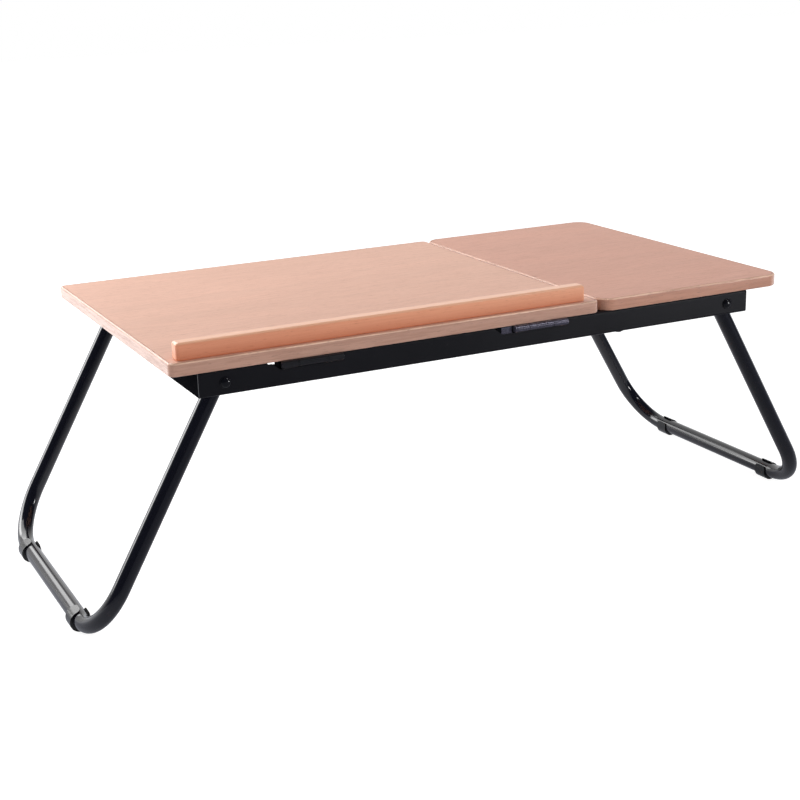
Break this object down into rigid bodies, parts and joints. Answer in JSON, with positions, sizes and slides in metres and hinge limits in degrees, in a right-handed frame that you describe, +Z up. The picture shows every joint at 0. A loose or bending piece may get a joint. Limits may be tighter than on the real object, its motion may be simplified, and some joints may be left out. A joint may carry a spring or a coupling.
{
  "type": "folding bed table",
  "caption": "Low lap table with two wood-tone boards on a black steel frame, folding U-shaped tube legs, a front ledge and a tilting board on hinges.",
  "frame": {"origin": "on the floor, under the middle of the table's bounding box", "axes": "+X along the front rail to the right, +Y from the hinged front rail to the back, +Z up"},
  "size_m": [0.746, 0.3436, 0.2507],
  "materials": {
    "laminate": "printed wood laminate on board, satin",
    "edge_band": "wood-tone plastic edge band, satin",
    "ledge_wood": "stained and lacquered solid wood",
    "black_frame": "black powder coat, semi-gloss",
    "black_tube": "black powder coat, semi-gloss",
    "hinge_steel": "zinc-plated pressed steel",
    "plain_steel": "zinc-plated",
    "dark_rivet": "blackened steel",
    "foot_plastic": "glossy black",
    "black_plastic": "fine texture, black"
  },
  "bodies": {
    "frame": {"front_rail": "black_frame", "rear_rail": "black_frame", "left_end_rail": "black_frame", "right_end_rail": "black_frame", "cross_member": "black_frame", "cross_member_brackets": "black_frame", "bracket_screws": "dark_rivet", "leg_pivot_rivets": "dark_rivet", "leg_pivot_spacers": "black_plastic", "right_board_panel": "laminate", "right_board_edge_band": "edge_band", "right_board_screws": "plain_steel", "left_hinge_frame_leaf": "hinge_steel", "right_hinge_frame_leaf": "hinge_steel", "left_hinge_pin": "plain_steel", "right_hinge_pin": "plain_steel", "left_rack_bar": "black_frame", "right_rack_bar": "black_frame", "left_rack_block": "black_plastic", "right_rack_block": "black_plastic", "rack_screws": "plain_steel", "rack_bar_rivets": "dark_rivet"},
    "tilting_board": {"left_board_panel": "laminate", "left_board_edge_band": "edge_band", "book_ledge": "ledge_wood", "ledge_screws": "plain_steel", "left_hinge_board_leaf": "hinge_steel", "right_hinge_board_leaf": "hinge_steel", "hinge_screws": "plain_steel", "left_prop_clip": "black_plastic", "right_prop_clip": "black_plastic", "prop_clip_screws": "plain_steel"},
    "prop": {"prop_rod": "plain_steel"},
    "left_leg": {"left_leg_tube": "black_tube", "left_leg_end_plugs": "black_plastic", "left_front_foot": "foot_plastic", "left_rear_foot": "foot_plastic"},
    "right_leg": {"right_leg_tube": "black_tube", "right_leg_end_plugs": "black_plastic", "right_front_foot": "foot_plastic", "right_rear_foot": "foot_plastic"}
  },
  "joints": [
    {"name": "board_tilt", "type": "hinge", "parent": "frame", "child": "tilting_board", "pos_m": [-0.09275, -0.1688, 0.22217], "axis": [1, 0, 0], "range_deg": [0, 30]},
    {"name": "prop_swing", "type": "hinge", "parent": "tilting_board", "child": "prop", "pos_m": [-0.134, 0.0312, 0.22042], "axis": [1, 0, 0], "range_deg": [0, 32.8]},
    {"name": "left_leg_fold", "type": "hinge", "parent": "frame", "child": "left_leg", "pos_m": [-0.2465, -0.0092, 0.21497], "axis": [0, -1, 0], "range_deg": [0, 119.7]},
    {"name": "right_leg_fold", "type": "hinge", "parent": "frame", "child": "right_leg", "pos_m": [0.2465, -0.0092, 0.21497], "axis": [0, 1, 0], "range_deg": [0, 119.7]}
  ]
}
